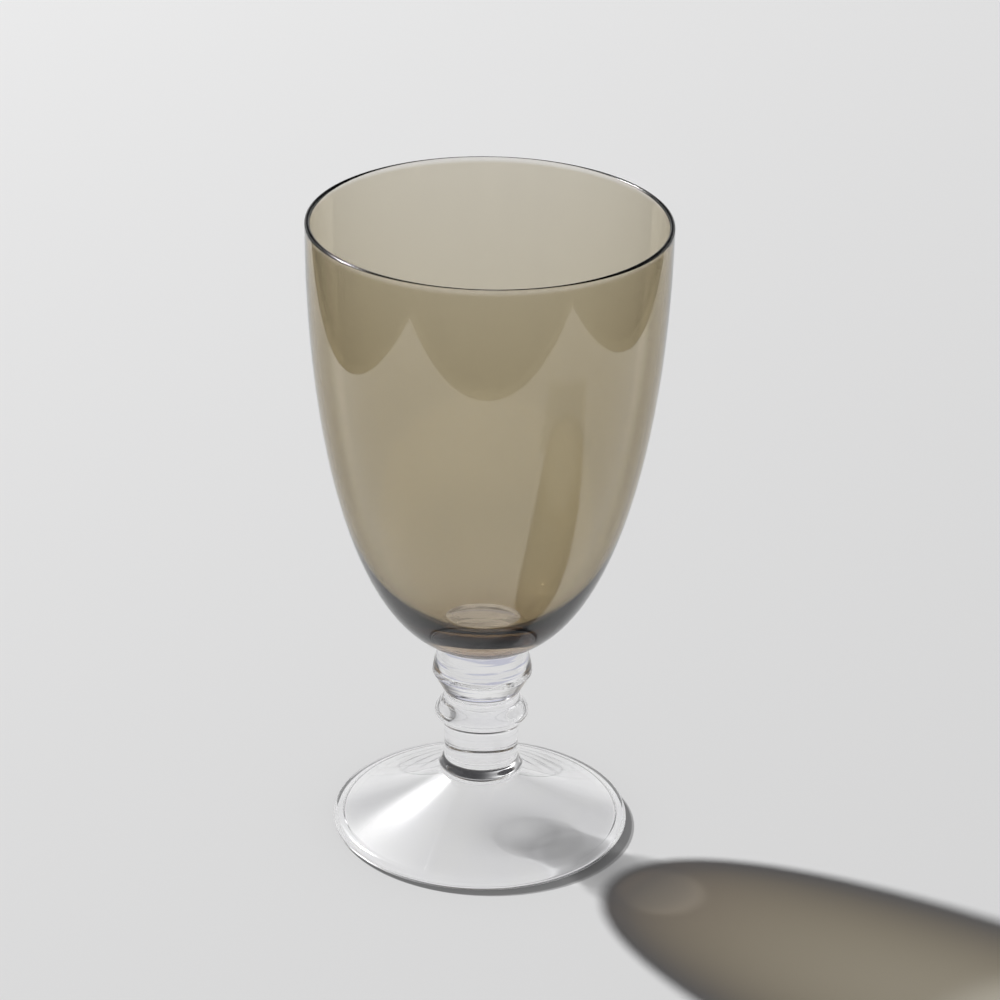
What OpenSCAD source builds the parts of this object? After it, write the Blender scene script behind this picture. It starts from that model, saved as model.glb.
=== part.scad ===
// Water goblet in two glasses: a smoke-tinted bowl on a clear collar, ringed stem and domed foot.
// Every piece is turned about +Z. The origin is the centre of the foot, on the table; sizes are in mm.

/* [Bowl] */
// Outside diameter of the mouth
mouth_d = 88.9; // [78:0.1:100]
// Height of the bowl from its seat on the collar to the top of the lip
bowl_h = 112.7; // [95:0.1:130]
// Thickness of the glass at the rounded lip
lip_t = 1.3; // [0.9:0.05:2.2]
// Thickness of the glass between the seat and the lowest point inside
base_t = 6.3; // [4:0.1:12]
// How the outside closes towards the base: 0.5 is a plain ellipse, less is a fuller bowl
outer_round_share = 0.392; // [0.34:0.002:0.5]
// How the inside closes towards the base
inner_round_share = 0.304; // [0.28:0.002:0.36]
// How the inside draws in below the lip: 1 is a plain ellipse, less draws in sooner
inner_rise_share = 0.892; // [0.85:0.002:1]

/* [Collar] */
// Diameter of the seat where the bowl is fused to the collar
bowl_seat_d = 21; // [18:0.1:24]
// Height of the collar between its two seats
collar_h = 12.4; // [9:0.1:16]
// Diameter of the collar at its crisp edge
collar_d = 25.2; // [24.2:0.1:30]
// Height of that edge above the seat on the stem
collar_edge_h = 4.4; // [3:0.1:6]
// Rounding of that edge
collar_edge_r = 0.4; // [0.2:0.05:0.8]
// How far the side above the edge swells out of a straight line
collar_swell = 0.25; // [0:0.05:0.6]

/* [Stem] */
// Diameter of the seat where the collar is fused to the stem
stem_seat_d = 20.3; // [19:0.1:23]
// Height of the stem between its two seats
stem_h = 23.6; // [21:0.1:40]
// Diameter of the neck above the ring
neck_d = 18.6; // [15:0.1:19]
// Depth of the neck below the upper seat
neck_drop = 2; // [1.2:0.1:3]
// Diameter of the ring
ring_d = 23.7; // [22:0.1:28]
// Height of the flare from the neck to the ring's edge
ring_flare_h = 5.2; // [4:0.1:6.5]
// Rounding of the ring's edge
ring_edge_r = 0.4; // [0.2:0.05:0.8]
// Height of the cove under the ring
cove_h = 5.2; // [4:0.1:6]
// Diameter of the shank just under the cove
shank_top_d = 18.8; // [16:0.1:20]
// Diameter of the shank just above the bead
shank_low_d = 18.5; // [16:0.1:20]
// Largest diameter of the bead at the bottom of the stem
bead_d = 21.2; // [20.8:0.1:25]
// Height of the flare from the shank to the bead
bead_flare_h = 2.4; // [1.6:0.1:4]
// Height of the bead's widest line above the foot
bead_h = 1.6; // [1:0.1:3]

/* [Foot] */
// Diameter of the seat where the stem is fused to the foot
foot_seat_d = 20.2; // [18:0.1:20.6]
// Diameter of the foot
foot_d = 74.8; // [64:0.1:90]
// Height of the foot up to the stem
foot_h = 15.3; // [11:0.1:20]
// Thickness of the foot's rounded edge
foot_edge_t = 3.4; // [2.4:0.1:4.6]
// How far the top of the foot sags below a straight cone
foot_sag = 0.5; // [0:0.05:1.5]
// Width of the narrow flat that the foot stands on, under its rounded edge
standing_w = 0.5; // [0.3:0.1:3]
// Height above the table at which the hollow underneath leaves that edge
hollow_start_h = 0.7; // [0.3:0.05:1.2]
// Thickness of the foot between its seat and the crown of the hollow
crown_t = 2; // [1.5:0.1:5]
// Diameter of that nearly flat crown
crown_d = 16; // [10:0.1:18]
// How far the crown rises from its edge to its middle
crown_rise = 0.3; // [0:0.05:1]

/* [Hidden] */

// Points along each long curve, points round each small one, and facets round the axis
long_steps = 64;
short_steps = 12;
$fn = 160;

// Heights of the three fused seams above the table
foot_seam = foot_h;
stem_seam = foot_seam + stem_h;
bowl_seam = stem_seam + collar_h;

// Glass colours, as red, green, blue and opacity
smoke = [0.47, 0.43, 0.35, 0.75];
clear = [0.88, 0.90, 0.93, 0.5];

// Eases from 0 to 1, level at both ends, as a flare that is hollow first and round last
function ease(t) = (1 - cos(180 * t)) / 2;
// Falls from 1 to 0, steep first and level last, as a cove
function cove(t) = pow(1 - t, 2);
// Rises to 1 halfway and back to 0, as the bow of an arc over its chord
function bow(t) = 4 * t * (1 - t);
// Steps from 0 to 1, with both ends
function steps(n) = [for (i = [0:n]) i / n];
// Points of an arc about a centre, from one angle to another
function arc(centre, r, from, to, n) =
    [for (t = steps(n)) centre + r * [cos(from + (to - from) * t), sin(from + (to - from) * t)]];

// Radius of a bowl curve at a share of its depth below the lip: full at the lip, closed at the pole
function bowl_radius(mouth_r, depth_share, rise, round) =
    mouth_r * pow(1 - pow(depth_share, 2 * rise), round);
// Share of its depth at which such a curve, with a plain rise, has closed to a given radius
function depth_share_at(r, mouth_r, round) = sqrt(1 - pow(r / mouth_r, 1 / round));

// A piece is its half profile turned about the axis
module turned(profile) {
    rotate_extrude() polygon(profile);
}

// Smoke bowl: fuller than an ellipse, thin at the lip, with a heavy base that ends in a flat seat
module bowl() {
    mouth_r = mouth_d / 2;
    lip_r = lip_t / 2;
    lip_z = bowl_h - lip_r;
    seat_share = depth_share_at(bowl_seat_d / 2, mouth_r, outer_round_share);
    outer_depth = lip_z / seat_share;
    inner_depth = lip_z - base_t;
    seat_angle = asin(seat_share);
    outside = [for (t = steps(long_steps))
        let (s = sin(seat_angle * (1 - t)))
        [bowl_radius(mouth_r, s, 1, outer_round_share), lip_z - outer_depth * s]];
    lip = arc([mouth_r - lip_r, lip_z], lip_r, 0, 180, short_steps);
    inside = [for (t = steps(long_steps))
        let (s = sin(90 * t))
        [bowl_radius(mouth_r - lip_t, s, inner_rise_share, inner_round_share), lip_z - inner_depth * s]];
    color(smoke)
        translate([0, 0, bowl_seam])
            turned(concat([[0, 0]], outside, lip, inside));
}

// Clear collar: swells down from the bowl's seat to a crisp edge, then tapers to the stem
module collar() {
    edge_r = collar_d / 2;
    stem_seat_r = stem_seat_d / 2;
    bowl_seat_r = bowl_seat_d / 2;
    taper = atan((edge_r - stem_seat_r) / collar_edge_h);
    edge = arc([edge_r - collar_edge_r, collar_edge_h], collar_edge_r, -taper, 0, short_steps);
    side = [for (t = steps(long_steps))
        [edge_r + (bowl_seat_r - edge_r) * t + collar_swell * bow(t),
         collar_edge_h + (collar_h - collar_edge_h) * t]];
    color(clear)
        translate([0, 0, stem_seam])
            turned(concat([[0, 0], [stem_seat_r, 0]], edge, side, [[0, collar_h]]));
}

// Clear stem: a short neck, a ring with a crisp edge and a cove under it, a shank and a bead on the foot
module stem() {
    seat_r = stem_seat_d / 2;
    neck_r = neck_d / 2;
    ring_r = ring_d / 2;
    shank_top_r = shank_top_d / 2;
    shank_low_r = shank_low_d / 2;
    bead_r = bead_d / 2;
    foot_seat_r = foot_seat_d / 2;
    neck_z = stem_h - neck_drop;
    ring_z = neck_z - ring_flare_h;
    turn = atan(2 * (ring_r - shank_top_r) / cove_h);
    edge = arc([ring_r - ring_edge_r, ring_z], ring_edge_r, 0, -turn, short_steps);
    cove_start = edge[short_steps];
    cove_end_z = ring_z - cove_h;
    flare_start_z = bead_h + bead_flare_h;
    neck = [for (t = steps(long_steps))
        [neck_r + (seat_r - neck_r) * cove(t), stem_h - neck_drop * t]];
    flare = [for (t = steps(long_steps))
        [neck_r + (ring_r - neck_r) * ease(t), neck_z - ring_flare_h * t]];
    hollow = [for (t = steps(long_steps))
        [shank_top_r + (cove_start[0] - shank_top_r) * cove(t),
         cove_start[1] + (cove_end_z - cove_start[1]) * t]];
    bead_flare = [for (t = steps(long_steps))
        [shank_low_r + (bead_r - shank_low_r) * ease(t), flare_start_z - bead_flare_h * t]];
    bead = [for (t = steps(short_steps))
        [foot_seat_r + (bead_r - foot_seat_r) * (1 - t * t), bead_h * (1 - t)]];
    color(clear)
        translate([0, 0, foot_seam])
            turned(concat([[0, stem_h]], neck, flare, edge, hollow, bead_flare, bead, [[0, 0]]));
}

// Clear foot: a low cone with a round edge that stands on a narrow flat. The hollow leaves the inside of
// the edge and follows the cone at an even thickness up to a crown under the stem.
module foot() {
    seat_r = foot_seat_d / 2;
    edge_r = foot_edge_t / 2;
    edge_centre = [foot_d / 2 - edge_r, edge_r];
    under_centre = edge_centre - [standing_w, 0];
    under_turn = acos(1 - hollow_start_h / edge_r);
    crown_r = crown_d / 2;
    crown_edge_z = foot_h - crown_t - crown_rise;
    slope = atan((foot_h - foot_edge_t) / (edge_centre[0] - seat_r));
    edge = arc(edge_centre, edge_r, 90 - slope, -90, short_steps);
    under = arc(under_centre, edge_r, -90, -90 - under_turn, short_steps);
    start = under[short_steps];
    top = [for (t = steps(long_steps))
        [seat_r + (edge[0][0] - seat_r) * t, foot_h + (edge[0][1] - foot_h) * t - foot_sag * bow(t)]];
    hollow = [for (t = steps(long_steps))
        [start[0] + (crown_r - start[0]) * t,
         start[1] + (crown_edge_z - start[1]) * t - foot_sag * bow(t)]];
    crown = [for (t = steps(short_steps))
        [crown_r * (1 - t), crown_edge_z + crown_rise * (1 - pow(1 - t, 2))]];
    color(clear)
        turned(concat([[0, foot_h]], top, edge, under, hollow, crown));
}

bowl();
collar();
stem();
foot();
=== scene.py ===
# %% [markdown]
# # A water goblet in two glasses
# The goblet has a bowl of smoke-brown glass on a clear collar, a clear ringed stem and a clear domed
# foot. Each is a gather of glass that is shaped while it turns and is then fused to the next one, so all
# four are round about one axis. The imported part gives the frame: the pieces made below stand exactly
# where its solids stand, and take their place.

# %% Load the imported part
import math

import bpy
from mathutils import Matrix, Vector


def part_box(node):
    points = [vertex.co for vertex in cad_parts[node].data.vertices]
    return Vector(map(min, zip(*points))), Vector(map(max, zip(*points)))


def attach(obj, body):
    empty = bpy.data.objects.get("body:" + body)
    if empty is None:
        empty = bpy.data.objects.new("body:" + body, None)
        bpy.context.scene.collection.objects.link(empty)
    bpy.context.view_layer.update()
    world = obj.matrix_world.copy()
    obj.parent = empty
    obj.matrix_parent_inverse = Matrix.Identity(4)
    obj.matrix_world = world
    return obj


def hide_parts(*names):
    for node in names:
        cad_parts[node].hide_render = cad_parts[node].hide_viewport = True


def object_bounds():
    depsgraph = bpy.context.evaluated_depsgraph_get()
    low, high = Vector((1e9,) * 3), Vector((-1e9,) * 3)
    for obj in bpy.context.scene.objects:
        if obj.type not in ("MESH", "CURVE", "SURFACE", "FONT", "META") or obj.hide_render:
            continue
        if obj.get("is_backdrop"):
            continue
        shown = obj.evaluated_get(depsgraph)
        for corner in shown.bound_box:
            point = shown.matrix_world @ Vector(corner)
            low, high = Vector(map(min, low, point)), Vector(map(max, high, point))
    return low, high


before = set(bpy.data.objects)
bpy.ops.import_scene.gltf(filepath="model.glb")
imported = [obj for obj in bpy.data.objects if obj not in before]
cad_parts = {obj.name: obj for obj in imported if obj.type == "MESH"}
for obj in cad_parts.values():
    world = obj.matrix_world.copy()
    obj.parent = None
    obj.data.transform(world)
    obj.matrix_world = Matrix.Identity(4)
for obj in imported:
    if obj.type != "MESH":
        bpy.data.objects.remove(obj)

MM = 0.001
cad_low, cad_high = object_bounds()
print("packed part, mm:", [round(v / MM, 2) for v in cad_high - cad_low])

# %% [markdown]
# ## Sizes
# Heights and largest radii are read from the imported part, so that this file follows it. The rest, such
# as the round of an edge, is written here in millimetres and turned into metres, because Blender works
# in metres.

# %% Sizes read from the part
def half_width(node):
    """The largest radius that stays inside the node's box."""
    low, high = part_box(node)
    return min(high.x, high.y, -low.x, -low.y)


def seams(node):
    """The heights of the node's bottom and top."""
    low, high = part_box(node)
    return low.z, high.z


mouth_r, foot_r = half_width("bowl"), half_width("foot")
bowl_low, bowl_high = seams("bowl")
collar_low, collar_high = seams("collar")
stem_low, stem_high = seams("stem")
foot_low, foot_high = seams("foot")
for node in ("bowl", "collar", "stem", "foot"):
    print(node, "radius", round(half_width(node) / MM, 2), "from", [round(z / MM, 2) for z in seams(node)])

# %% [markdown]
# ## Sockets that do sums
# Both kinds of node tree used here, for shapes and for glass, are mostly arithmetic. Wiring Math nodes
# by hand hides the formula, so one small class wraps an output socket and lets Python's own operators
# add the nodes. A formula then reads as it would on paper. Vectors go to Vector Math and colours to Mix,
# because a Math node would flatten them.

# %% The socket class
# A Mix node has sockets for every kind of value; these are the places of those for colours.
MIX_FACTOR, MIX_A, MIX_B, MIX_COLOUR = 0, 6, 7, 2


class Wire:
    """An output socket that Python's operators work on."""

    def __init__(self, socket):
        self.socket, self.tree = socket, socket.id_data

    @classmethod
    def node(cls, tree, kind, settings=None, values=None, out=0):
        """Adds any node: its settings first, then the values or links of its sockets."""
        made = tree.nodes.new(kind)
        for name, value in (settings or {}).items():
            if name == "stops":
                ramp = made.color_ramp.elements
                for i, (place, colour) in enumerate(value):
                    stop = ramp[i] if i < len(ramp) else ramp.new(place)
                    stop.position, stop.color = place, colour
            else:
                setattr(made, name, value)
        for key, value in (values or {}).items():
            if isinstance(value, Wire):
                tree.links.new(value.socket, made.inputs[key])
            else:
                made.inputs[key].default_value = value
        return cls(made.outputs[out]) if made.outputs else None

    def other(self, name):
        """Another output of the same node."""
        return Wire(self.socket.node.outputs[name])

    def maths(self, operation, *values):
        """A Math, Vector Math or Mix node on these values, by what kind they are."""
        kinds = {v.socket.type for v in values if isinstance(v, Wire)}
        if "RGBA" in kinds:
            a, b = [v if isinstance(v, (Wire, tuple)) else (v, v, v, 1) for v in values]
            settings = {"data_type": "RGBA", "blend_type": operation}
            mixed = {MIX_FACTOR: 1.0, MIX_A: a, MIX_B: b}
            return Wire.node(self.tree, "ShaderNodeMix", settings, mixed, MIX_COLOUR)
        kind = "ShaderNodeMath"
        if "VECTOR" in kinds:
            kind = "ShaderNodeVectorMath"
            values = [v if isinstance(v, (Wire, tuple)) else (v, v, v) for v in values]
        return Wire.node(self.tree, kind, {"operation": operation}, dict(enumerate(values)))

    def __add__(self, b):
        return self.maths("ADD", self, b)

    def __radd__(self, a):
        return self.maths("ADD", a, self)

    def __sub__(self, b):
        return self.maths("SUBTRACT", self, b)

    def __rsub__(self, a):
        return self.maths("SUBTRACT", a, self)

    def __mul__(self, b):
        return self.maths("MULTIPLY", self, b)

    def __rmul__(self, a):
        return self.maths("MULTIPLY", a, self)

    def __truediv__(self, b):
        return self.maths("DIVIDE", self, b)

    def __rtruediv__(self, a):
        return self.maths("DIVIDE", a, self)

    def __pow__(self, b):
        return self.maths("POWER", self, b)


print("a wire takes + - * / with a number on either side, and **")


# %% Sums that have no operator
def sine(turn):
    return turn.maths("SINE", turn)


def cosine(turn):
    return turn.maths("COSINE", turn)


def soft_step(value, start, end):
    """Eases from 0 at the start to 1 at the end."""
    return Wire.node(value.tree, "ShaderNodeMapRange", {"interpolation_type": "SMOOTHSTEP"}, {
        "Value": value, "From Min": start, "From Max": end})


print("also", [f.__name__ for f in (sine, cosine, soft_step)])

# %% [markdown]
# ## Turning glass
# A turned piece is a half profile spun about the axis. It could be spun with the Screw modifier or drawn
# as a curve, but the profiles here follow formulas, so each stretch of a profile is a flat grid whose
# points are moved by its formula: one way along the grid runs down the profile, the other runs round the
# axis. The stretches are joined and welded, which also closes the seam and the two poles. Where two
# pieces are fused, the seat's faces carry a mark for the glass to read. A second mark says how much a
# stretch bends lamp light. In the formulas s holds the sizes of a piece, and t is the share of the way
# along a stretch.

# %% A stretch of a profile, wound round the axis
FACETS = 256


def stretch(rows, shape, fused=0.0, bend=0.0):
    """A stretch of a profile: its rows, the shape that they follow and its two marks."""
    return rows, shape, {"fused": fused, "bend": bend}


def wound(tree, facets, rows, shape, marks):
    """A grid wound round the axis; shape turns a share of the way along it into a radius and a height."""
    grid = Wire.node(tree, "GeometryNodeMeshGrid", {}, {
        "Size X": 1.0, "Size Y": 1.0, "Vertices X": rows + 1, "Vertices Y": facets + 1})
    place = Wire.node(tree, "ShaderNodeSeparateXYZ", {}, {0: Wire.node(tree, "GeometryNodeInputPosition")})
    share = place + 0.5
    turn = (place.other("Y") + 0.5) * math.tau
    radius, height = shape(share)
    spun = Wire.node(tree, "ShaderNodeCombineXYZ", {}, {
        "X": radius * cosine(turn), "Y": radius * sine(turn), "Z": height})
    on_faces = {"data_type": "FLOAT", "domain": "FACE"}
    for name, value in marks.items():
        grid = Wire.node(tree, "GeometryNodeStoreNamedAttribute", on_faces, {
            "Geometry": grid, "Name": name, "Value": value(share) if callable(value) else value})
    return Wire.node(tree, "GeometryNodeSetPosition", {}, {"Geometry": grid, "Position": spun})


print("facets round each piece:", FACETS)


# %% The tree of a piece
def piece_tree(name, sizes, strips):
    """Winds, joins and welds the stretches, with a named input for each size."""
    tree = bpy.data.node_groups.new(name, "GeometryNodeTree")
    for size in [*sizes, "Weld"]:
        tree.interface.new_socket(size, in_out="INPUT", socket_type="NodeSocketFloat")
    tree.interface.new_socket("Facets", in_out="INPUT", socket_type="NodeSocketInt")
    tree.interface.new_socket("Glass", in_out="INPUT", socket_type="NodeSocketMaterial")
    tree.interface.new_socket("Piece", in_out="OUTPUT", socket_type="NodeSocketGeometry")
    asked = Wire.node(tree, "NodeGroupInput")
    given = {size: asked.other(size) for size in [*sizes, "Weld", "Facets", "Glass"]}
    join = tree.nodes.new("GeometryNodeJoinGeometry")
    for rows, shape, marks in strips(given):
        tree.links.new(wound(tree, given["Facets"], rows, shape, marks).socket, join.inputs[0])
    welded = Wire.node(tree, "GeometryNodeMergeByDistance", {}, {
        "Geometry": Wire(join.outputs[0]), "Distance": given["Weld"]})
    smooth = Wire.node(tree, "GeometryNodeSetShadeSmooth", {}, {0: welded})
    real = Wire.node(tree, "GeometryNodeRealizeInstances", {}, {0: smooth})
    filled = Wire.node(tree, "GeometryNodeSetMaterial", {}, {"Geometry": real, "Material": given["Glass"]})
    Wire.node(tree, "NodeGroupOutput", {}, {"Piece": filled})
    print(name, "tree:", len(tree.nodes), "nodes")
    return tree


# %% A piece baked to a plain mesh
WELD, CRISP = 0.0005 * MM, math.radians(40)


def report(piece):
    """Prints the piece's triangles, the glass it holds, below zero if it is inside out, and its size."""
    mesh = piece.data
    mesh.calc_loop_triangles()
    points = [v.co for v in mesh.vertices]
    corners = (t.vertices for t in mesh.loop_triangles)
    held = sum(points[a].dot(points[b].cross(points[c])) for a, b, c in corners) / 6
    print(piece.name, len(mesh.loop_triangles), "triangles,", round(held / MM**3), "mm3,",
          [round(v / MM, 2) for v in piece.dimensions], [m.name for m in mesh.materials])


def turned_piece(name, sizes, strips, material):
    """Sets the sizes on the piece's tree and bakes it; edges past the crisp angle stay crisp."""
    tree = piece_tree(name, sizes, strips)
    piece = bpy.data.objects.new(name, bpy.data.meshes.new(name))
    bpy.context.scene.collection.objects.link(piece)
    turning = piece.modifiers.new("Turning", "NODES")
    turning.node_group = tree
    values = {**sizes, "Weld": WELD, "Facets": FACETS, "Glass": material}
    for socket in tree.interface.items_tree:
        if socket.in_out == "INPUT":
            turning[socket.identifier] = values[socket.name]
    mesh = bpy.data.meshes.new_from_object(piece.evaluated_get(bpy.context.evaluated_depsgraph_get()))
    piece.modifiers.remove(turning)
    piece.data = mesh
    mesh.name = name
    mesh.materials.clear()
    mesh.materials.append(material)
    mesh.polygons.foreach_set("material_index", [0] * len(mesh.polygons))
    mesh.set_sharp_from_angle(angle=CRISP)
    report(piece)
    return piece


print("points closer than", WELD / MM, "mm are welded")

# %% [markdown]
# ## The glasses
# The colour of the bowl isn't in the whole of its glass: the heavy base looks paler than the thin walls,
# and the walls grow darker where they are seen at a slant. Both say that a thin smoke skin lies over a
# nearly clear body. So the skin is modelled as a layer of its own with strong Volume Absorption, which
# gives every slant its right depth of colour. A seat, or the face between skin and body, has no surface
# in real glass: there Alpha is 0 and a ray passes straight on. A lamp's rays can't be followed through
# bent glass in reasonable time, so for them the glass is a plain clear sheet, a little darker at a
# slant, where an edge throws light aside and through the thick of the stem, and brighter where a round
# shape gathers light.

# %% Lamp light through glass
GATHERED = 1.4


def empty_tree(name):
    """A new material with an empty tree."""
    material = bpy.data.materials.new(name)
    material.use_nodes = True
    material.node_tree.nodes.clear()
    return material, material.node_tree


def clear_way(tree, level):
    """A straight way through for light, at this level."""
    return Wire.node(tree, "ShaderNodeBsdfTransparent", {}, {"Color": (level, level, level, 1)})


def blend(factor, first, second):
    """A Mix Shader between two shaders; None leaves a side empty."""
    sides = {0: factor, 1: first, 2: second}
    given = {place: side for place, side in sides.items() if side is not None}
    return Wire.node(factor.tree, "ShaderNodeMixShader", {}, given)


def lamp_light(tree, fused, levels):
    """What lamps see of a glass. The levels are for a face that is square to them, for one at a slant,
    and for one whose bend mark says that it throws light aside. A mark below 0 gathers light."""
    square, slanted, aside = levels
    slant = Wire.node(tree, "ShaderNodeLayerWeight", {}, {"Blend": 0.5}, "Facing")
    bend = Wire.node(tree, "ShaderNodeAttribute", {"attribute_name": "bend"}, out="Fac")
    entering = 1 - Wire.node(tree, "ShaderNodeNewGeometry", out="Backfacing")
    through = blend(slant * slant, clear_way(tree, square), clear_way(tree, slanted))
    through = blend(bend * entering, through, clear_way(tree, aside))
    through = blend(fused, through, clear_way(tree, 1.0))
    return blend(0 - bend, through, clear_way(tree, GATHERED))


print("light is gathered up to", GATHERED, "times")

# %% Glass with a wavering tint
GLASS_IOR, RIPPLE_DEPTH = 1.5, 0.2 * MM


def glass(name, pale, deep, scale, lamp, depth=None, share=(0.3, 0.7), ripple=0.0, spread=0.0):
    """A transmitting glass whose tint wavers between two colours. Depth is a colour all through it, with
    its strength. Spread is how much lamp light a thick round piece throws aside for each metre of glass."""
    material, tree = empty_tree(name)
    place = Wire.node(tree, "ShaderNodeTexCoord", out="Object")
    drawn = Wire.node(tree, "ShaderNodeMapping", {}, {"Vector": place, "Scale": scale})
    streak = Wire.node(tree, "ShaderNodeTexNoise", {}, {
        "Vector": drawn, "Scale": 1.0, "Detail": 2.0, "Distortion": 0.6})
    tint = Wire.node(tree, "ShaderNodeMix", {"data_type": "RGBA"}, {
        MIX_FACTOR: soft_step(streak, *share), MIX_A: pale, MIX_B: deep}, MIX_COLOUR)
    worked = Wire.node(tree, "ShaderNodeBump", {}, {
        "Strength": ripple, "Distance": RIPPLE_DEPTH, "Height": streak})
    fused = Wire.node(tree, "ShaderNodeAttribute", {"attribute_name": "fused"}, out="Fac")
    surface = Wire.node(tree, "ShaderNodeBsdfPrincipled", {}, {
        "Base Color": tint, "Roughness": 0.0, "IOR": GLASS_IOR, "Transmission Weight": 1.0,
        "Alpha": 1 - fused, "Normal": worked})
    lamp_ray = Wire.node(tree, "ShaderNodeLightPath", out="Is Shadow Ray")
    floor_ray = lamp_ray.other("Is Diffuse Ray")
    seen = blend(lamp_ray.maths("MAXIMUM", lamp_ray, floor_ray), surface, lamp_light(tree, fused, lamp))
    filled = {"Surface": seen}
    if depth:
        colour, density = depth
        filled["Volume"] = Wire.node(tree, "ShaderNodeVolumeAbsorption", {}, {
            "Color": colour, "Density": density})
    if spread:
        aside = Wire.node(tree, "ShaderNodeVolumeAbsorption", {}, {
            "Color": (0, 0, 0, 1), "Density": spread})
        filled["Volume"] = blend(lamp_ray, None, aside)
    Wire.node(tree, "ShaderNodeOutputMaterial", {}, filled)
    print(name, len(tree.nodes), "nodes")
    return material


# %% The glasses
bowl_lamp, stem_lamp, foot_lamp = (0.92, 0.5, 0.3), (0.98, 0.9, 0.5), (1.0, 0.98, 0.1)
colourless = (1, 1, 1, 1)
smoke = glass("smoke skin", pale=(0.99, 0.985, 0.97, 1), deep=(0.97, 0.965, 0.955, 1),
              scale=(140.0, 140.0, 14.0), lamp=bowl_lamp, depth=((0.485, 0.385, 0.081, 1), 2400.0))
body = glass("bowl glass", pale=(1, 0.995, 0.99, 1), deep=(0.99, 0.985, 0.98, 1),
             scale=(120.0, 120.0, 16.0), lamp=bowl_lamp, depth=((0.60, 0.24, 0.12, 1), 25.0))
# The collar's violet lines are painted light: bluish light that the worked glass bends into lines is laid
# into its tint. The ripple bump gives the real working of the glass.
collar_glass = glass("worked glass with painted violet lines", pale=colourless, deep=(0.52, 0.53, 0.72, 1),
                     scale=(50.0, 50.0, 1000.0), lamp=stem_lamp, share=(0.56, 0.62),
                     ripple=0.25, spread=36.0)
stem_glass = glass("drawn clear glass", pale=colourless, deep=(0.98, 0.98, 0.995, 1),
                   scale=(500.0, 500.0, 8.0), lamp=stem_lamp, ripple=0.01, spread=34.0)
foot_glass = glass("clear glass", pale=colourless, deep=(0.985, 0.985, 0.998, 1),
                   scale=(90.0, 90.0, 90.0), lamp=foot_lamp)

# %% [markdown]
# ## The bowl
# The outside is fuller than an ellipse, and the inside follows a second curve of the same kind that
# leaves a thin wall and a heavy base. Both are worked out from how far they have spread from the axis.
# They could be drawn as curves by hand, but formulas stay smooth at the pole and let the skin follow the
# outside. The body's strips run from the lowest point inside, up to the lip, over it, down under the
# skin and along the fused seat. The skin's run down the outside and back up against the body; it thins
# out to nothing at the lip.

# %% Bowl sizes
GAP = 0.01 * MM
lip_t, base_t, bowl_seat_r, skin_t = 1.3 * MM, 6.3 * MM, 10.5 * MM, 0.3 * MM
outer_round, inner_round, inner_rise = 0.392, 0.304, 0.892
lip_z = bowl_high - lip_t / 2
bowl_seat_drop = math.sqrt(1 - (bowl_seat_r / mouth_r) ** (1 / outer_round))
bowl_sizes = {
    "Mouth Radius": mouth_r, "Lip": lip_t, "Lip Height": lip_z, "Inside Depth": lip_z - bowl_low - base_t,
    "Outside Depth": (lip_z - bowl_low - GAP) / bowl_seat_drop, "Seat Height": bowl_low + GAP,
    "Seat Angle": math.asin(bowl_seat_r / mouth_r), "Outer Round": outer_round, "Inner Round": inner_round,
    "Inner Rise": inner_rise,
    "Skin": skin_t, "Skin At Lip": 0.70, "Skin Growth": 1.1, "Skin At Base": 1.08}
inside_rows, lip_rows, wall_rows, seat_rows = 96, 16, 150, 2
lip_bend = 0.8
print("bowl sizes:", {k: round(v, 4) for k, v in bowl_sizes.items()})


# %% Bowl curves
def outer_wall(s, under):
    """The curve of the outside, or of the face that lies this far under it, from the lip down."""
    def curve(t):
        spread = sine(math.pi / 2 - (math.pi / 2 - s["Seat Angle"]) * t)
        drop = (1 - spread ** (1 / s["Outer Round"])) ** 0.5
        grown = t.maths("MINIMUM", s["Skin At Lip"] + s["Skin Growth"] * t, s["Skin At Base"])
        deep = under * grown * t.maths("MINIMUM", t * wall_rows, 1.0)
        return (s["Mouth Radius"] - deep) * spread, s["Lip Height"] - (s["Outside Depth"] - deep) * drop
    return curve


def lower_end(curve, s):
    """Where such a curve ends at the bottom of the bowl."""
    return curve(1 + 0 * s["Lip"])


def straight(start, end):
    """A straight stretch between two places on the profile."""
    def place(t):
        return start[0] + (end[0] - start[0]) * t, start[1] + (end[1] - start[1]) * t
    return place


print("rows inside, over the lip and down the wall:", inside_rows, lip_rows, wall_rows)


# %% Bowl strips
def body_strips(s):
    def inside(t):
        spread = sine(t * (math.pi / 2))
        drop = (1 - spread ** (1 / s["Inner Round"])) ** (0.5 / s["Inner Rise"])
        return (s["Mouth Radius"] - s["Lip"]) * spread, s["Lip Height"] - s["Inside Depth"] * drop

    def lip(t):
        turn = (1 - t) * math.pi
        half = s["Lip"] / 2
        return s["Mouth Radius"] - half + half * cosine(turn), s["Lip Height"] + half * sine(turn)

    covered = outer_wall(s, s["Skin"] + 2 * GAP)
    corner = lower_end(covered, s)
    seat_edge = (corner[0], s["Seat Height"])
    seat_middle = (0 * corner[0], s["Seat Height"])
    return [stretch(inside_rows, inside), stretch(lip_rows, lip, bend=lip_bend),
            stretch(wall_rows, covered, fused=1.0), stretch(1, straight(corner, seat_edge), fused=1.0),
            stretch(seat_rows, straight(seat_edge, seat_middle), fused=1.0)]


def skin_strips(s):
    shown, hidden = outer_wall(s, 0 * s["Skin"]), outer_wall(s, s["Skin"])
    bottom = straight(lower_end(shown, s), lower_end(hidden, s))
    return [stretch(wall_rows, shown), stretch(1, bottom, fused=1.0),
            stretch(wall_rows, lambda t: hidden(1 - t), fused=1.0)]


bowl = turned_piece("bowl_body", bowl_sizes, body_strips, body)
skin = turned_piece("smoke_skin", bowl_sizes, skin_strips, smoke)

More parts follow.
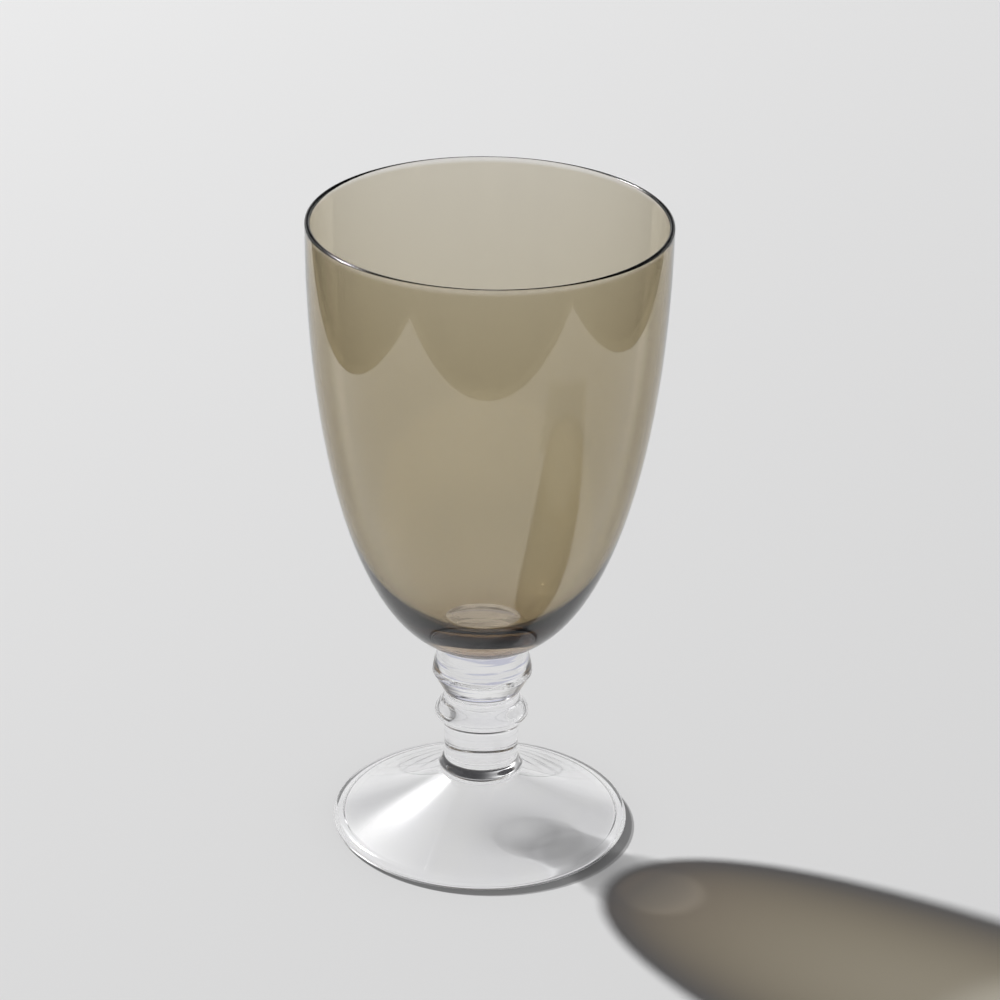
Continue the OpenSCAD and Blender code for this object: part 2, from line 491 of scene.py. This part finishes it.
# %% [markdown]
# ## The collar
# A small clear gather joins the bowl to the stem. It swells down from the bowl's seat to one crisp edge,
# then tapers in to the stem. It could be cut from a cylinder with bevels, but the swell is a curve, so
# it is turned as the bowl is. Its strips run over the top seat, down the side, round the edge and along
# the taper.

# %% Seats, rounded edges and bows
def seat_strip(radius, height, outwards):
    """A fused seat, from the axis outwards on a top and inwards on a bottom."""
    def seat(t):
        return radius * (t if outwards else 1 - t), height + 0 * t
    return stretch(seat_rows, seat, fused=1.0)


def arc_strip(rows, radius, height, round_r, start, end, bend=0.0):
    """A rounded edge about a centre at this radius and height."""
    def edge(t):
        turn = start + (end - start) * t
        return radius + round_r * cosine(turn), height + round_r * sine(turn)
    return stretch(rows, edge, bend=bend)


def bow(t):
    """Rises to 1 halfway and back to 0."""
    return 4 * t * (1 - t)


print("rows across each seat:", seat_rows)

# %% Collar sizes and strips
stem_seat_r, collar_r = 10.15 * MM, half_width("collar")
collar_edge_h, collar_edge_r, collar_swell = 4.4 * MM, 0.4 * MM, 0.25 * MM
side_rows, edge_rows, taper_rows = 40, 10, 12


def collar_strips(s):
    top, bottom = s["Top"], s["Bottom"]
    round_r, edge_z = s["Edge Round"], bottom + s["Edge Height"]
    centre_r = s["Edge Radius"] - round_r
    edge_end_r, edge_end_z = centre_r + round_r * cosine(s["Taper"]), edge_z - round_r * sine(s["Taper"])

    def side(t):
        out = s["Bowl Seat"] + (s["Edge Radius"] - s["Bowl Seat"]) * t + s["Swell"] * bow(t)
        return out, top + (edge_z - top) * t

    taper = straight((edge_end_r, edge_end_z), (s["Stem Seat"], bottom))
    return [seat_strip(s["Bowl Seat"], top, True), stretch(side_rows, side),
            arc_strip(edge_rows, centre_r, edge_z, round_r, 0, 0 - s["Taper"]),
            stretch(taper_rows, taper), seat_strip(s["Stem Seat"], bottom, False)]


collar_sizes = {
    "Top": collar_high - GAP, "Bottom": collar_low + GAP, "Bowl Seat": bowl_seat_r,
    "Stem Seat": stem_seat_r, "Edge Radius": collar_r, "Edge Height": collar_edge_h,
    "Edge Round": collar_edge_r, "Swell": collar_swell,
    "Taper": math.atan((collar_r - stem_seat_r) / collar_edge_h)}
collar = turned_piece("clear_collar", collar_sizes, collar_strips, collar_glass)

# %% [markdown]
# ## The stem
# Below the collar the stem narrows to a neck, flares out to a ring with a crisp edge, falls back through
# a cove to a plain shank and ends in a low bead on the foot. A drawn curve could give these, but each
# stretch is an easing curve between two radii, so two small functions do for all of them. The ring
# gathers some lamp light.

# %% Stem sizes
foot_seat_r = 10.1 * MM
neck_r, neck_drop, ring_r, ring_flare_h = 9.3 * MM, 2 * MM, half_width("stem"), 5.2 * MM
ring_edge_r, cove_h, shank_top_r, shank_low_r = 0.4 * MM, 5.2 * MM, 9.4 * MM, 9.25 * MM
bead_r, bead_flare_h, bead_h = 10.6 * MM, 2.4 * MM, 1.6 * MM
neck_rows, flare_rows, shank_rows, bead_rows = 16, 28, 8, 16
gather_bend = -0.4
stem_sizes = {
    "Top": stem_high - GAP, "Bottom": stem_low + GAP, "Collar Seat": stem_seat_r, "Foot Seat": foot_seat_r,
    "Neck": neck_r, "Neck Drop": neck_drop, "Ring": ring_r, "Ring Flare": ring_flare_h,
    "Ring Round": ring_edge_r, "Cove": cove_h,
    "Cove Angle": math.atan(2 * (ring_r - shank_top_r) / cove_h), "Shank Top": shank_top_r,
    "Shank Low": shank_low_r, "Bead": bead_r, "Bead Flare": bead_flare_h,
    "Bead Height": bead_h}
print("stem sizes:", {k: round(v, 4) for k, v in stem_sizes.items()})


# %% Stem strips
def ease(t):
    """From 0 to 1, level at both ends."""
    return (1 - cosine(t * math.pi)) / 2


def cove(t):
    """From 1 to 0, steep first and level last."""
    return (1 - t) ** 2


def stem_strips(s):
    top, bottom = s["Top"], s["Bottom"]
    neck_z = top - s["Neck Drop"]
    ring_z = neck_z - s["Ring Flare"]
    round_r, centre_r = s["Ring Round"], s["Ring"] - s["Ring Round"]
    cove_r, cove_z = centre_r + round_r * cosine(s["Cove Angle"]), ring_z - round_r * sine(s["Cove Angle"])
    cove_end = ring_z - s["Cove"]
    flare_z = bottom + s["Bead Height"] + s["Bead Flare"]

    def neck(t):
        return s["Neck"] + (s["Collar Seat"] - s["Neck"]) * cove(t), top - s["Neck Drop"] * t

    def flare(t):
        return s["Neck"] + (s["Ring"] - s["Neck"]) * ease(t), neck_z - s["Ring Flare"] * t

    def under(t):
        return s["Shank Top"] + (cove_r - s["Shank Top"]) * cove(t), cove_z + (cove_end - cove_z) * t

    def bead_flare(t):
        return s["Shank Low"] + (s["Bead"] - s["Shank Low"]) * ease(t), flare_z - s["Bead Flare"] * t

    def bead(t):
        out = s["Foot Seat"] + (s["Bead"] - s["Foot Seat"]) * (1 - t * t)
        return out, bottom + s["Bead Height"] * (1 - t)

    shank = straight((s["Shank Top"], cove_end), (s["Shank Low"], flare_z))
    return [seat_strip(s["Collar Seat"], top, True), stretch(neck_rows, neck),
            stretch(flare_rows, flare, bend=gather_bend),
            arc_strip(edge_rows, centre_r, ring_z, round_r, 0, 0 - s["Cove Angle"]),
            stretch(flare_rows, under, bend=gather_bend), stretch(shank_rows, shank),
            stretch(flare_rows, bead_flare), stretch(bead_rows, bead),
            seat_strip(s["Foot Seat"], bottom, False)]


stem = turned_piece("clear_stem", stem_sizes, stem_strips, stem_glass)

# %% [markdown]
# ## The foot
# The foot is a low cone that sags a little below a straight line. It stands on a narrow flat under a
# round edge, which shows as a bright band because it is round inside too. The hollow leaves the inside
# of that edge and follows the cone, so the table shows through an even sheet of glass, and ends in a
# nearly flat crown: that crown throws the view back up, which is why the bottom of the stem looks dark.
# It could be a cone with a bevel, but the band needs a true arc inside and out, so the foot is turned as
# well. The outer edge throws lamp light aside, its inside gathers some, and the crown's edge dims it.

# %% Foot sizes
foot_edge_t, foot_sag, standing_w, hollow_start_h = 3.4 * MM, 0.5 * MM, 0.5 * MM, 0.7 * MM
crown_t, crown_r, crown_rise = 2 * MM, 8 * MM, 0.3 * MM
foot_slope = math.atan((foot_high - foot_low - foot_edge_t) / (foot_r - foot_edge_t / 2 - foot_seat_r))
cone_rows, upper_edge_rows, lower_edge_rows, flat_rows, under_rows, crown_rows = 64, 12, 18, 2, 14, 12
upper_edge_bend, lower_edge_bend, crown_bend = 0.6, 0.9, 0.30
foot_sizes = {
    "Top": foot_high - GAP, "Table": foot_low, "Stem Seat": foot_seat_r, "Foot Radius": foot_r,
    "Edge": foot_edge_t, "Slope": foot_slope, "Sag": foot_sag, "Flat": standing_w, "Crown Glass": crown_t,
    "Crown": crown_r, "Crown Rise": crown_rise,
    "Under Turn": math.acos(1 - hollow_start_h / (foot_edge_t / 2))}
print("foot sizes:", {k: round(v, 4) for k, v in foot_sizes.items()})


# %% Foot strips
def foot_strips(s):
    half = s["Edge"] / 2
    centre_r, centre_z = s["Foot Radius"] - half, s["Table"] + half
    start = math.pi / 2 - s["Slope"]
    end_r, end_z = centre_r + half * cosine(start), centre_z + half * sine(start)
    under_r, under_end = centre_r - s["Flat"], -math.pi / 2 - s["Under Turn"]
    start_r, start_z = under_r + half * cosine(under_end), centre_z + half * sine(under_end)
    crown_z = s["Top"] - s["Crown Glass"] - s["Crown Rise"]

    def sagging(r0, z0, r1, z1):
        """A line from one radius and height to another, with the cone's sag."""
        return lambda t: (r0 + (r1 - r0) * t, z0 + (z1 - z0) * t - s["Sag"] * bow(t))

    def hollow_bend(t):
        """Gathers lamp light near the edge and dims it near the crown."""
        return crown_bend * t ** 5 + gather_bend * (1 - t) ** 10

    def crown(t):
        return s["Crown"] * (1 - t), crown_z + s["Crown Rise"] * (1 - (1 - t) ** 2)

    top = sagging(s["Stem Seat"], s["Top"], end_r, end_z)
    flat = straight((centre_r, s["Table"]), (under_r, s["Table"]))
    hollow = sagging(start_r, start_z, s["Crown"], crown_z)
    level, down = 0 * start, 0 * start - math.pi / 2
    return [seat_strip(s["Stem Seat"], s["Top"], True), stretch(cone_rows, top),
            arc_strip(upper_edge_rows, centre_r, centre_z, half, start, level, upper_edge_bend),
            arc_strip(lower_edge_rows, centre_r, centre_z, half, level, down, lower_edge_bend),
            stretch(flat_rows, flat, bend=gather_bend),
            arc_strip(under_rows, under_r, centre_z, half, down, under_end, gather_bend),
            stretch(cone_rows, hollow, bend=hollow_bend),
            stretch(crown_rows, crown, bend=lambda t: crown_bend * (1 - t))]


foot = turned_piece("clear_foot", foot_sizes, foot_strips, foot_glass)

# %% [markdown]
# ## Taking the solids' places
# Each finished piece stands for one solid of the imported part and rides on the part's one body.

# %% Replace the solids
places = ((skin, "bowl", "smoke_glass"), (bowl, "bowl", "clear_glass"), (collar, "collar", "clear_glass"),
          (stem, "stem", "clear_glass"), (foot, "foot", "clear_glass"))
for piece, node, finish in places:
    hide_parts(node)
    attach(piece, "root")
    print(piece.name, "stands for", node)

# %% [markdown]
# ## Floor and light
# The goblet stands on a plain pale floor. One lamp high at the back left throws the shadow to the front
# right. A sky that is pale near the horizon and dim overhead fills the rest, with a glow beside the
# lamp, which the foot mirrors as a white wedge, and a tight glint round it, which the lip mirrors as two
# white dashes. Glass also shows the edge of the table it stands on, so dark cards lie round a white one,
# as on a photographer's table. Only mirrored light sees them: they give the bowl its scalloped
# reflections and leave the floor plain. In front of the goblet the white card is brighter than any real
# white: this is painted light for the floor's sunlit side that the bowl mirrors. Past the far end of the
# goblet's shadow the card carries a painted shadow, so that the mirrored shadow runs on up the bowl.

# %% Floor
PALE = 0.80
floor_reach, floor_z = 6, -0.05 * MM


def sheet(name, x0, y0, x1, y1, z, material):
    """A flat stage sheet."""
    mesh = bpy.data.meshes.new(name)
    mesh.from_pydata([(x0, y0, z), (x1, y0, z), (x1, y1, z), (x0, y1, z)], [], [(0, 1, 2, 3)])
    mesh.materials.append(material)
    made = bpy.data.objects.new(name, mesh)
    bpy.context.scene.collection.objects.link(made)
    made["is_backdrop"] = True
    return made


pale_floor, tree = empty_tree("pale floor")
matt = Wire.node(tree, "ShaderNodeBsdfDiffuse", {}, {"Color": (PALE, PALE, PALE, 1)})
Wire.node(tree, "ShaderNodeOutputMaterial", {}, {"Surface": matt})
floor = sheet("floor", -floor_reach, -floor_reach, floor_reach, floor_reach, floor_z, pale_floor)
print("floor level:", PALE)

# %% Key lamp
light_az, light_el, light_far, light_size, light_power = 141.9, 41.7, 6.0, 0.22, 405.0
aim = Vector((0, 0, 60 * MM))


def toward(az, el):
    """The way to a place in the sky, from its bearing and height in degrees."""
    az, el = math.radians(az), math.radians(el)
    return Vector((math.cos(az) * math.cos(el), math.sin(az) * math.cos(el), math.sin(el)))


key = bpy.data.lights.new("key", "AREA")
key.shape, key.size, key.energy, key.color = "DISK", light_size, light_power, (1.0, 1.0, 1.0)
key_lamp = bpy.data.objects.new("key", key)
key_lamp.location = aim + toward(light_az, light_el) * light_far
key_lamp.rotation_euler = toward(light_az, light_el).to_track_quat("Z", "Y").to_euler()
bpy.context.scene.collection.objects.link(key_lamp)
print("key lamp at", [round(v, 3) for v in key_lamp.location])

# %% The white card's colour, with painted light and a painted shadow
# The extra white is painted light: brighter than any real white, it stands for the floor's sunlit side that
# the glass mirrors. The dimming past the end of the goblet's shadow is a painted shadow that lengthens the
# mirrored one.
painted_shine, white_ring = 0.9, (30 * MM, 80 * MM)
white_front, front_slope = (-5 * MM, -80 * MM), 0.6
dim, painted_shadow_mouth, painted_shadow_start, painted_shadow_end = 0.42, (40 * MM, 50 * MM), (0.0, 10 * MM), (100 * MM, 82 * MM)
painted_shadow_sides, painted_shadow_shift = (62 * MM, 50 * MM), 8 * MM
shadow_way = -toward(light_az, 0)
shadow_end = bowl_high / math.tan(math.radians(light_el))


def fading_white(tree):
    """Painted light in front of the goblet, the floor's colour near and behind it, and a painted shadow
    past the end of its real shadow.
    """
    place = Wire.node(tree, "ShaderNodeTexCoord", out="Object")
    x = Wire.node(tree, "ShaderNodeSeparateXYZ", {}, {0: place})
    y = x.other("Y")
    away = soft_step((x * x + y * y) ** 0.5, *white_ring)
    in_front = soft_step(y - front_slope * x.maths("ABSOLUTE", x), *white_front)
    along = shadow_way.x * x + shadow_way.y * y - shadow_end
    across = shadow_way.x * y - shadow_way.y * x
    # The first term below is painted light; the dimming term is a painted shadow past the goblet's real
    # shadow.
    past = soft_step((along * along + across * across) ** 0.5, *painted_shadow_mouth) * soft_step(along, *painted_shadow_start)
    beside = soft_step(across.maths("ABSOLUTE", across + painted_shadow_shift), *painted_shadow_sides)
    return (PALE + painted_shine * away * in_front) * (1 - dim * past * beside * soft_step(along, *painted_shadow_end))


print("the mouth's shadow falls", round(shadow_end / MM), "mm from the axis")

# %% Cards that only mirrored light sees
board_left, board_right, board_front, board_back = -274 * MM, 308 * MM, -255 * MM, 300 * MM
board_z, dark_z, dark_reach, dark_level = 0.4 * MM, 0.5 * MM, 3, (0.03, 0.03, 0.03, 1)


def mirrored_only(name, colour):
    """A matt finish for a card; light that no piece has mirrored passes it by."""
    material, tree = empty_tree(name)
    surface = Wire.node(tree, "ShaderNodeBsdfDiffuse", {}, {"Color": colour(tree)})
    mirrored = Wire.node(tree, "ShaderNodeLightPath", out="Glossy Depth")
    seen = blend(mirrored, clear_way(tree, 1.0), surface)
    Wire.node(tree, "ShaderNodeOutputMaterial", {}, {"Surface": seen})
    return material


white = mirrored_only("white card", fading_white)
dark = mirrored_only("dark card", lambda tree: dark_level)
cards = [sheet("card_white", board_left, board_front, board_right, board_back, board_z, white),
         sheet("card_front", -dark_reach, -dark_reach, dark_reach, board_front, dark_z, dark),
         sheet("card_left", -dark_reach, board_front, board_left, dark_reach, dark_z, dark),
         sheet("card_right", board_right, board_front, dark_reach, dark_reach, dark_z, dark)]
for card in cards:
    card.visible_camera = card.visible_diffuse = card.visible_shadow = False
cards[0].visible_transmission = False
print("stage:", floor.name, [c.name for c in cards])

# %% Sky
horizon, overhead = (PALE, PALE, PALE, 1), (0.06, 0.06, 0.063, 1)
pale_to, dim_from = 0.20, 0.36
world = bpy.data.worlds.new("studio")
bpy.context.scene.world = world
world.use_nodes = True
tree = world.node_tree
tree.nodes.clear()
look = Wire.node(tree, "ShaderNodeTexCoord", out="Generated")
up = Wire.node(tree, "ShaderNodeSeparateXYZ", {}, {0: look}, "Z")
walls = Wire.node(tree, "ShaderNodeValToRGB", {
    "stops": [(0.0, horizon), (pale_to, horizon), (dim_from, overhead)]}, {0: up})
print("sky is pale up to", pale_to, "and dim from", dim_from)

# %% Glows that only the glass sees
wedge_az, wedge_el, wedge_narrow = 126, 33, 250


def nearness(way):
    """How nearly a look points that way."""
    return Wire.node(look.tree, "ShaderNodeVectorMath", {"operation": "DOT_PRODUCT"}, {
        0: look, 1: way}, "Value")


def glowing(az, el, level, tight):
    """A round glow of this level about a place in the sky."""
    near = nearness(toward(az, el))
    return level * near.maths("MAXIMUM", near, 0.0) ** tight


beside = nearness(toward(wedge_az + 90, 0))
wedge = glowing(wedge_az, wedge_el, level=3.4, tight=90.0) * (1 - beside * beside) ** wedge_narrow
haze = glowing(az=135, el=47, level=1.6, tight=30.0)
mirrored = Wire.node(tree, "ShaderNodeLightPath", out="Is Glossy Ray")
bent = mirrored.maths("MINIMUM", mirrored.other("Transmission Depth"), 1.0)
glint = glowing(light_az, light_el, level=90.0, tight=200.0) * (1 - bent)
by_glass = mirrored.maths("MAXIMUM", mirrored, mirrored.other("Is Transmission Ray"))
shine = Wire.node(tree, "ShaderNodeBackground", {}, {
    "Color": walls + (wedge + haze + glint) * by_glass, "Strength": 1.0})
Wire.node(tree, "ShaderNodeOutputWorld", {}, {"Surface": shine})
print("sky nodes:", len(tree.nodes))

# %% [markdown]
# ## Camera
# The camera looks down from in front at about 25 degrees with a long lens, a little rolled, as the
# photograph does. Light is let through many faces of glass before it is given up, or the thick base
# would turn black.

# %% Camera
pitch, yaw, roll = 0.438435, 0.0039361, -0.0187626
eye, focal_px, image_px, sensor = Vector((0, -0.9303592, 0.526339)), 4159.9077, 1000, 36.0
forward = Vector((math.sin(yaw) * math.cos(pitch), math.cos(yaw) * math.cos(pitch), -math.sin(pitch)))
sideways = Vector((math.cos(yaw), -math.sin(yaw), 0))
down = forward.cross(sideways)
across = sideways * math.cos(roll) + down * math.sin(roll)
below = down * math.cos(roll) - sideways * math.sin(roll)
lens = bpy.data.cameras.new("camera")
lens.sensor_width, lens.lens = sensor, focal_px * sensor / image_px
lens.clip_start, lens.clip_end = 0.01, 50
camera = bpy.data.objects.new("camera", lens)
camera.matrix_world = Matrix.Translation(eye) @ Matrix((across, -below, -forward)).transposed().to_4x4()
bpy.context.scene.collection.objects.link(camera)
bpy.context.scene.camera = camera
bpy.context.scene.view_settings.view_transform = "Standard"
print("lens", round(lens.lens, 2), "mm")

# %% Bounces for light inside glass
bounces = 24
cycles = bpy.context.scene.cycles
cycles.caustics_refractive = cycles.caustics_reflective = False
cycles.max_bounces = cycles.transmission_bounces = bounces
cycles.glossy_bounces = cycles.transparent_max_bounces = bounces
print("light passes up to", bounces, "faces")

# %% [markdown]
# ## Size against the part
# The box of the finished pieces is set beside the box of the imported part, and how far it reaches
# outside is printed.

# %% Sizes and finish
low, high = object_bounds()
beyond = [max(a - b, c - d) for a, b, c, d in zip(cad_low, low, high, cad_high)]
print("outside the packed box by, mm:", [round(v / MM, 5) for v in beyond])
